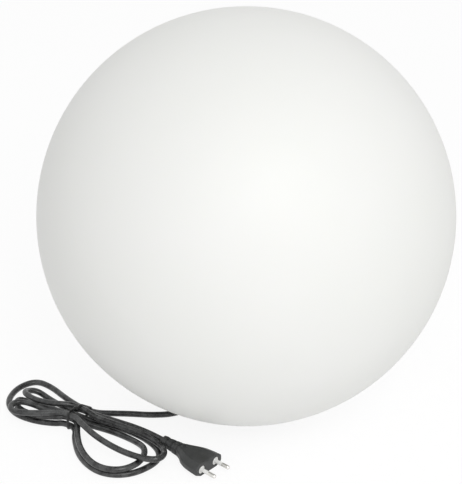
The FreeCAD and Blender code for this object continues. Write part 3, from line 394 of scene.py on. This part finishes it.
def shell_outline(turn):
    """The pressed shell's wall, waved by the thread, with a rolled lip at the top."""
    heights = [shell_low + (shell_straight - shell_low) * k / wall_steps
               for k in range(wall_steps + 1)]
    wall = []
    for z in heights:
        fade = min(1.0, (z - shell_low) / thread_fade, (shell_straight - z) / thread_fade)
        wave = 0.5 - 0.5 * math.cos(2 * math.pi * (z / thread_pitch - turn / (2 * math.pi)))
        wall.append((shell_r - thread_deep * fade * wave, z))
    lip = [(shell_r + 0.5, shell_straight + 0.3), (shell_r + 1.0, shell_straight + 1.0),
           (shell_r + 0.7, shell_straight + 1.5), (shell_r + 0.2, shell_straight + 1.2)]
    return wall + lip + [(r - shell_wall, z) for r, z in wall[::-1]]


points, faces = turned(shell_outline, thread_steps)
piece_of("threaded_shell", points, [f[::-1] for f in faces], nickel, "base", "holder_metal",
         "lampholder_screw_shell")


# ---------------------------------------------------------------- bulb
# Screw cap, black glass, soldered contact, moulded housing, board with its light sources and an
# opal dome. Only its dome and housing show when the globe is lifted off.

# Cap drawn from aluminium sheet and nickelled: bright, with a fine uneven haze from its socket.
cap_metal = surface("nickelled_aluminium_cap", ("#b8b8b4", "#cfcfcc"), (0.20, 0.38), 0.5, 0.01, 5,
                    Metallic=1.0)
cap_low, cap_top = (corner.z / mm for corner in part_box("bulb_cap"))
cap_r, cap_thread_deep, cap_steps = 13.1, 1.1, 48
thread_from, thread_to = cap_low + 1.6, cap_top - 4.4


def cap_outline(turn):
    """The cap's wall, waved by its rounded thread, and its hem against the housing."""
    start, end = thread_from, thread_to
    wall = [(7.2, cap_low), (9.6, cap_low + 0.25), (cap_r - 2.2, cap_low + 0.8)]
    for k in range(cap_steps + 1):
        z = start + (end - start) * k / cap_steps
        fade = min(1.0, (z - start) / 2.4, (end - z) / 1.6)
        wave = 0.5 - 0.5 * math.cos(2 * math.pi * (z / thread_pitch - turn / (2 * math.pi)))
        wall.append((cap_r - cap_thread_deep + cap_thread_deep * wave * max(0.0, fade), z))
    wall += [(cap_r - 0.6, end + 0.5), (cap_r - 0.4, end + 1.2), (cap_r - 0.4, cap_top)]
    inside = [(cap_r - 1.7, cap_top), (cap_r - 1.7, cap_low + 2.6), (cap_r - 3.2, cap_low + 1.3),
              (7.2, cap_low + 1.0)]
    return wall + inside


points, faces = turned(cap_outline, thread_steps)
piece_of("threaded_cap", points, [f[::-1] for f in faces], cap_metal, "bulb", "bulb_cap_metal",
         "bulb_cap")

# Black glass, fire polished.
black_glass = surface("black_glass", ("#0e0f13", "#15161a"), (0.05, 0.12), 1.5, 0.01, 6, IOR=1.52)
finish_node("bulb_insulator", black_glass)
# Tin solder, a dull cast drop.
solder = surface("tin_solder", ("#a9a9a6", "#c4c4c2"), (0.30, 0.55), 0.6, 0.03, 2, Metallic=1.0)
finish_node("bulb_contact", solder)
# White PBT housing: smooth with a low gloss.
white_pbt = surface("moulded_white_polyester", ("#ececea", "#f3f3f1"), (0.28, 0.40), 1.2, 0.01, 20,
                    IOR=1.57)
finish_node("bulb_housing", white_pbt)
finish_node("bulb_board", white_pbt)
# Opal polycarbonate, sandblasted outside: even, milky and satin.
opal = surface("opal_polycarbonate", ("#f1f1ee", "#f7f7f5"), (0.38, 0.52), 0.5, 0.01, 30, IOR=1.58)
finish_node("bulb_dome", opal)


# ---------------------------------------------------------------- cord
# Round two-core mains cord, 6 mm, black PVC. It leaves its boot under the globe, runs out on the
# ground and is wound in a hank of seven loops, each laid over the ones before it.

cord_d = 6.0
cord_turn, exit_r, exit_z = math.radians(214.0), 34.0, 8.4
tie_at, tie_turn = (-164.0, -56.8), math.radians(-33.0)
slot_air, strand_air, ground_air = 0.6, 0.4, 0.02
slot, strand_pitch = cord_d + slot_air, cord_d + strand_air
half_waist, loop_steps = 8.0, 10
hank_start, hank_leave, hank_leave_out = (-132.0, -47.8), 15.0, 1.5
tie_thick, tie_air = 1.1, 0.3
plug_at, plug_turn, plug_thick = (-78.9, -96.8), math.radians(-41.6), 13.7
# Side of the tie, reach, swing at the tip, how far the outgoing and the returning half bow out
# and how near the tip they do it, and the waist slots that the loop starts from and ends in.
loops = (
    (-1, 80.2, 8.9, (31.4, 2.41), (33.6, 0.50), 2.5, -2.2),
    (1, 99.0, -9.5, (47.4, 0.31), (23.2, 0.43), -2.2, 0.5),
    (-1, 60.1, -8.1, (11.0, 1.54), (13.8, 0.34), 0.5, -1.6),
    (1, 90.9, -25.0, (34.4, 0.33), (36.6, 0.53), -1.6, -0.5),
    (-1, 53.0, -21.0, (13.0, 2.25), (13.1, 1.68), -0.5, -2.0),
    (1, 108.8, -17.0, (9.7, 0.35), (32.6, 0.81), -2.0, 0.5),
    (-1, 59.6, -5.0, (-16.0, 0.34), (-16.2, 1.82), 0.5, 1.5),
)


def across_tie(along, across):
    """Place on the ground of a spot given along and across the hank from its tie."""
    return (tie_at[0] + along * math.cos(tie_turn) - across * math.sin(tie_turn),
            tie_at[1] + along * math.sin(tie_turn) + across * math.cos(tie_turn))


def loop_points(side, reach, swing, out, back, first, last):
    """One loop, out from the waist on one side of the tie and back to it, as a pear shape."""
    points = []
    for k in range(loop_steps + 1):
        turn = 2 * math.pi * k / loop_steps
        away = (1 - math.cos(turn)) / 2
        gone = (turn - math.sin(turn)) / (2 * math.pi)
        bow, near_tip = out if k <= loop_steps / 2 else back
        across = (first + (last - first) * gone) * slot
        across += swing * away * (2 - away)
        across -= side * bow * math.sin(turn) * away ** near_tip
        points.append(across_tie(side * (half_waist + reach * away), across))
    return points


def hank_plan():
    """Corners of the hank's course on the ground, and which of them are in the waist."""
    plan = [hank_start, across_tie(half_waist, loops[0][5] * slot)]
    waist = [1]
    for one in loops:
        waist.append(len(plan))
        plan += loop_points(*one)
        waist.append(len(plan) - 1)
    waist.append(len(plan))
    last_slot = loops[-1][6] * slot
    plan.append(across_tie(half_waist, last_slot))
    plan.append(across_tie(half_waist + hank_leave, last_slot + hank_leave_out))
    return plan, waist


def cord_line(corners, name="line", held_ends=False, steps=6):
    """The smooth line that a cord takes round its corners, given in millimetres."""
    line = bpy.data.curves.new(name, "CURVE")
    line.dimensions = "3D"
    line.resolution_u = steps
    spline = line.splines.new("NURBS")
    spline.points.add(len(corners) - 1)
    for knot, corner in zip(spline.points, corners):
        knot.co = (*(Vector(corner) * mm), 1.0)
    spline.order_u = 3
    spline.use_endpoint_u = held_ends
    return line


def spots_along(line):
    """Places along a line, in millimetres."""
    holder = bpy.data.objects.new("holder", line)
    mesh = bpy.data.meshes.new_from_object(holder)
    spots = [vertex.co / mm for vertex in mesh.vertices]
    bpy.data.meshes.remove(mesh)
    bpy.data.objects.remove(holder)
    bpy.data.curves.remove(line)
    return spots


def pile_heights(plan, waist):
    """Height of each corner, so that every strand lies over the strands that were laid first."""
    heights = [cord_d / 2 + ground_air] * len(plan)
    for i in waist:
        heights[i] += tie_thick + tie_air
    flat = spots_along(cord_line([(*spot, 0.0) for spot in plan]))
    run = [0.0]
    for before, after in zip(flat, flat[1:]):
        run.append(run[-1] + (after - before).length)
    spans = len(plan) - 2
    corner_at = [1 + n * spans // len(flat) for n in range(len(flat))]
    own_length = 3.2 * cord_d       # a strand doesn't climb over what it has just left
    for i in range(1, len(plan) - 1):
        laid = spots_along(cord_line([(*spot, z) for spot, z in zip(plan, heights)]))
        for j, here in enumerate(flat):
            if abs(corner_at[j] - i) > 1:
                continue
            for k in range(j):
                if run[j] - run[k] < own_length or corner_at[k] > i - 2:
                    break
                apart = (here - flat[k]).length
                if apart < strand_pitch:
                    over = laid[k].z + math.sqrt(strand_pitch ** 2 - apart ** 2)
                    heights[i] = max(heights[i], over)
    heights[0], heights[-1] = heights[1], heights[-2]
    return heights


def outwards(radius, height):
    """The point at this radius and height in the direction in which the cord leaves the base."""
    return Vector((radius * math.cos(cord_turn), radius * math.sin(cord_turn), height))


def plug_place(x, y, z):
    """A spot given along and across the plug, from where the cord enters it."""
    return Vector((plug_at[0] + x * math.cos(plug_turn) - y * math.sin(plug_turn),
                   plug_at[1] + x * math.sin(plug_turn) + y * math.cos(plug_turn), z))


plan, waist = hank_plan()
hank = [Vector((*spot, z)) for spot, z in zip(plan, pile_heights(plan, waist))]
into_hank = (hank[1] - hank[0]).normalized()
out_of_hank = (hank[-1] - hank[-2]).normalized()
# Out of the boot, down to the ground under the globe and across it to the hank.
cord_corners = [
    outwards(exit_r, exit_z), outwards(exit_r + 7.5, exit_z), outwards(exit_r + 17.0, exit_z - 2.0),
    outwards(exit_r + 29.0, exit_z - 3.6), Vector((-70.5, -46.6, cord_d / 2 + 0.3)),
    Vector((-93.0, -48.4, cord_d / 2 + 0.05)), hank[0] - into_hank * 20.0,
]
cord_corners += hank
# From the hank up to the middle of the plug's end and straight into it.
cord_corners += [
    hank[-1] + out_of_hank * 15.0, Vector((*across_tie(57.0, 15.0), plug_thick / 2 + 0.3)),
    plug_place(-15.0, 0, plug_thick / 2), plug_place(0, 0, plug_thick / 2),
]
cord_spots = spots_along(cord_line(cord_corners, held_ends=True, steps=12))

# Extruded PVC with a little plasticiser at its skin: satin black, with soft lighter patches about
# 7 mm wide, partly where dust clings and partly painted highlight, and slow swells 8 mm long
# from the extruder.
pvc_sheath = surface("extruded_black_pvc_sheath", ("#121213", "#4a4b4b"), (0.20, 0.42), 1.3, 0.03,
                     7, swell=(8, 0.35), IOR=1.53)

sheath = cord_line(cord_corners, "cord", held_ends=True, steps=12)
sheath.bevel_depth = cord_d / 2 * mm
sheath.bevel_resolution = 8
sheath.use_fill_caps = True
sheath.materials.append(pvc_sheath)
cord = bpy.data.objects.new("cord", sheath)
scene.collection.objects.link(cord)
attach(cord, "base")
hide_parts("cord_run", "cord_hank", "cord_tail")
finish_node("cord_end", pvc_sheath)


# ---------------------------------------------------------------- tie
# Flat wire tie: a steel wire with black PVC pressed round it into a strip. It is drawn round the
# waist of the hank, and its two ends are twisted together over the far strands.

def outermost(spots):
    """Those of the spots that a tight band would touch, in order round them."""
    hull = []
    for row in (sorted(spots), sorted(spots, reverse=True)):
        side = []
        for here in row:
            while len(side) > 1:
                (ax, ay), (bx, by) = side[-2:]
                if (bx - ax) * (here[1] - ay) - (by - ay) * (here[0] - ax) > 0:
                    break
                side.pop()
            side.append(here)
        hull += side[:-1]
    return hull


def tube(path, radius, sides=12):
    """Points and faces of a round wire along a path of Vectors, closed at both ends."""
    points, faces = [], []
    side = Vector((0, 0, 1))
    for n, spot in enumerate(path):
        heading = (path[min(n + 1, len(path) - 1)] - path[max(n - 1, 0)]).normalized()
        side = (side - heading * side.dot(heading)).normalized()
        other = heading.cross(side)
        for k in range(sides):
            turn = 2 * math.pi * k / sides
            points.append(spot + (side * math.cos(turn) + other * math.sin(turn)) * radius)
    for n in range(len(path) - 1):
        for k in range(sides):
            a, b = n * sides + k, n * sides + (k + 1) % sides
            faces.append((a, b, b + sides, a + sides))
    faces.append(tuple(range(sides))[::-1])
    faces.append(tuple(range(len(points) - sides, len(points))))
    return points, faces


in_tie = []
for before, after in zip(cord_spots, cord_spots[1:]):
    sides = []
    for spot in (before, after):
        x, y = spot.x - tie_at[0], spot.y - tie_at[1]
        sides.append((x * math.cos(tie_turn) + y * math.sin(tie_turn),
                      y * math.cos(tie_turn) - x * math.sin(tie_turn), spot.z))
    (a, across, height), (b, next_across, next_height) = sides
    if a * b < 0:
        share = a / (a - b)
        in_tie.append((across + (next_across - across) * share,
                       height + (next_height - height) * share))
hull = outermost(in_tie)


def tie_spot(along, across, height):
    """The place of a spot given along and across the hank from its tie, and its height."""
    return Vector((*across_tie(along, across), height))


strip = []          # (place, outwards) round the bundle, in the plane of the tie
corner_steps = 6
for n, here in enumerate(hull):
    before, after = hull[n - 1], hull[(n + 1) % len(hull)]
    start = math.atan2(-(here[0] - before[0]), here[1] - before[1])
    end = math.atan2(-(after[0] - here[0]), after[1] - here[1])
    turn = (end - start + math.pi) % (2 * math.pi) - math.pi
    for k in range(corner_steps + 1):
        angle = start + turn * k / corner_steps
        strip.append((here, (math.cos(angle), math.sin(angle))))

# Section of the strip: flat edges with the wire as a bead along the middle.
strip_air, strip_half, bead_high = 0.05, 1.5, 1.15
inner = cord_d / 2 + strip_air
section = [(-strip_half, 0.0), (-strip_half, 0.45), (-0.75, 0.55), (-0.55, 0.95),
           (0.0, bead_high), (0.55, 0.95), (0.75, 0.55), (strip_half, 0.45), (strip_half, 0.0)]
points, faces = [], []
for here, out in strip:
    for along, rise in section:
        reach = inner + rise
        points.append(tie_spot(along, here[0] + out[0] * reach, here[1] + out[1] * reach))
count = len(section)
for n in range(len(strip)):
    here, there = n * count, (n + 1) % len(strip) * count
    for k in range(count):
        m = (k + 1) % count
        faces.append((here + k, here + m, there + m, there + k))

top = max(range(len(hull)), key=lambda n: hull[n][1])
high, far = (Vector((0, *hull[n])) for n in (top, top - 1))
slope = (far - high).normalized()
rise = Vector((0, -slope.z, slope.y))
if rise.z < 0:
    rise = -rise
# The two ends wind round each other, a little flattened, and part towards their tips.
wire_r, twist_pitch, twist_length, twist_steps = 0.62, 4.2, 9.0, 24
twist_flat, parting, parting_from = 0.6, 0.9, 0.75
for half in (0, 1):
    path = []
    for k in range(twist_steps + 1):
        gone = twist_length * k / twist_steps
        turn = 2 * math.pi * gone / twist_pitch + math.pi * half
        spread = wire_r * (1 + parting * max(0.0, gone / twist_length - parting_from))
        spot = high + slope * gone + rise * (inner + bead_high + wire_r)
        spot += (rise * math.sin(turn) * spread * twist_flat
                 + Vector((math.cos(turn) * spread, 0, 0)))
        path.append(tie_spot(*spot))
    wire_points, wire_faces = tube(path, wire_r)
    faces += [tuple(len(points) + k for k in face) for face in wire_faces]
    points += wire_points

# Calendered PVC over wire: black and smooth, with an even gloss.
tie_pvc = surface("calendered_black_pvc_tie", ("#141414", "#1e1e1e"), (0.30, 0.45), 0.8, 0.02, 5,
                  IOR=1.53)
piece_of("tie", points, faces, tie_pvc, "base", "tie_pvc", "cord_tie")


# ---------------------------------------------------------------- plug
# Flat two-pin plug moulded in black PVC straight onto the cord. In section it is thick along the
# middle and slopes to thin side edges. Two nickelled pins stand in pale sleeves in its face.

plug_edge_thick, plug_width, plug_flat_width, plug_length = 6.0, 35.5, 22.0, 60.5
relief_length, relief_edge_r, plug_edge_r, nose_round = 26.0, 1.6, 2.0, 1.2
relief_groove, relief_groove_width, groove_at, groove_pitch = 1.2, 1.9, 6.8, 7.6
# The slot in the top of the neck: where it is, and its half length, width and depth.
slot_at, slot_height, slot_size = 26.5, 6.45, (5.5, 1.2, 1.1)
pin_apart, pin_dish_d, pin_dish_deep = 19.0, 8.4, 1.6
# Distance from the cord, width, thickness, height of the side edge, width of the flat top.
plug_sections = (
    (0.0, 8.8, 8.8, 4.4, 4.4), (13.0, 11.4, 10.6, 5.2, 6.0), (26.0, 14.4, 12.8, 6.2, 7.8),
    (29.0, 17.2, 13.5, 6.2, 9.4), (35.0, 25.5, plug_thick, plug_edge_thick, 14.0),
    (42.0, 31.0, plug_thick, plug_edge_thick, 18.0),
    (50.0, 33.8, plug_thick, plug_edge_thick, 21.0),
    (plug_length, plug_width, plug_thick, plug_edge_thick, plug_flat_width),
)


def plug_section(station, inset):
    """The plug's outline across it, at a distance from the cord and so far under its surface."""
    n = max(k for k, row in enumerate(plug_sections[:-1]) if row[0] <= station)
    rows = [plug_sections[min(max(k, 0), len(plug_sections) - 1)] for k in range(n - 1, n + 3)]
    before, here, after, beyond = rows
    length = after[0] - here[0]
    t = (station - here[0]) / length
    values = []
    for k in range(1, 5):
        slope_here = (after[k] - before[k]) / (after[0] - before[0]) * length
        slope_after = (beyond[k] - here[k]) / (beyond[0] - here[0]) * length
        values.append((2 * t ** 3 - 3 * t ** 2 + 1) * here[k]
                      + (t ** 3 - 2 * t ** 2 + t) * slope_here
                      + (3 * t ** 2 - 2 * t ** 3) * after[k] + (t ** 3 - t ** 2) * slope_after)
    side_loss = 2 * inset * math.tan(math.pi / 8)
    w, h = values[0] / 2 - inset, values[1] / 2 - inset
    e, f = (values[2] - side_loss) / 2, (values[3] - side_loss) / 2
    corners = [(w, e), (f, h), (-f, h), (-w, e), (-w, -e), (-f, -h), (f, -h), (w, -e)]
    return eased(corners, plug_edge_r if station > relief_length else relief_edge_r, steps=5)


# Distance of each ring from the cord, and how far it is set in: the collar, three grooves in the
# strain relief, a bead where the neck begins, then the body.
plug_rings = [(0.0, 0.9), (0.15, 0.3), (0.5, -0.15), (1.2, -0.45), (4.4, -0.5), (5.2, -0.3)]
for n in range(3):
    first = groove_at + groove_pitch * n
    for share, depth in ((-0.35, 0.0), (0.0, 0.15), (0.12, 0.8), (0.3, 1.0), (0.7, 1.0), (0.88, 0.8),
                         (1.0, 0.15), (1.35, 0.0)):
        plug_rings.append((first + relief_groove_width * share, relief_groove * depth))
plug_rings += [(25.0, 0.0), (26.2, 0.0), (26.8, -0.15), (27.4, -0.25), (28.2, -0.15), (29.0, 0.0)]
plug_rings += [(station, 0.0) for station in range(30, 60)]
for k in range(7):
    turn = math.pi / 2 * k / 6
    plug_rings.append((plug_length - nose_round * (1 - math.sin(turn)),
                       nose_round * (1 - math.cos(turn))))
points, faces = [], []
for station, inset in plug_rings:
    outline = plug_section(station, inset)
    points += [plug_place(station, y, z + plug_thick / 2) for y, z in outline]
count = len(outline)
for n in range(len(plug_rings) - 1):
    for k in range(count):
        a, b = n * count + k, n * count + (k + 1) % count
        faces.append((a, b, b + count, a + count))
faces.append(tuple(range(count))[::-1])
faces.append(tuple(range(len(points) - count, len(points))))

# Injection-moulded PVC from a vapour-honed mould: an even dark grey with a fine matt grain.
plug_pvc = surface("injection_moulded_black_pvc", ("#323333", "#3e3f3f"), (0.40, 0.60), 0.7, 0.02,
                   12, IOR=1.53)
plug = piece_of("plug", points, faces, plug_pvc, "base", "plug_pvc", "plug_body", sharp=40.0)

# A dish round each pin and the slot in the neck are cut out of the body.
cutter = bmesh.new()
heading = Vector((math.cos(plug_turn), math.sin(plug_turn), 0))
for side in (-1, 1):
    middle = plug_place(plug_length, side * pin_apart / 2, plug_thick / 2) * mm
    place = Matrix.Translation(middle) @ heading.to_track_quat("Z", "Y").to_matrix().to_4x4()
    bmesh.ops.create_cone(cutter, cap_ends=True, segments=64, radius1=pin_dish_d / 2 * mm,
                          radius2=pin_dish_d / 2 * mm, depth=2 * pin_dish_deep * mm, matrix=place)
top_of_neck = plug_place(slot_at, 0, plug_thick / 2 + slot_height) * mm
place = Matrix.Translation(top_of_neck) @ Matrix.Rotation(plug_turn, 4, "Z")
place = place @ Matrix.Diagonal((*slot_size, 1)) @ Matrix.Scale(mm, 4)
bmesh.ops.create_uvsphere(cutter, u_segments=32, v_segments=16, radius=1, matrix=place)
cutter_mesh = bpy.data.meshes.new("dishes")
cutter.to_mesh(cutter_mesh)
cutter.free()
dishes = bpy.data.objects.new("dishes", cutter_mesh)
scene.collection.objects.link(dishes)
cut = plug.modifiers.new("dishes", "BOOLEAN")
cut.object = dishes
cut.operation = "DIFFERENCE"
cut.solver = "EXACT"
cut_plug = plug.evaluated_get(bpy.context.evaluated_depsgraph_get())
hollowed = bpy.data.meshes.new_from_object(cut_plug)
plug.modifiers.remove(cut)
plug.data = hollowed
bpy.data.objects.remove(dishes)
hollowed.shade_smooth()
hollowed.set_sharp_from_angle(angle=math.radians(40))

for name in ("plug_pin_left", "plug_pin_right"):
    finish_node(name, nickel)
# Almost white polyamide sleeves, insert moulded: smooth, with a soft gloss.
sleeve_pa = surface("insert_moulded_pale_polyamide", ("#f0f0ee", "#f8f8f6"), (0.35, 0.50), 0.9,
                    0.01, 4, IOR=1.53)
for name in ("pin_sleeve_left", "pin_sleeve_right"):
    finish_node(name, sleeve_pa)
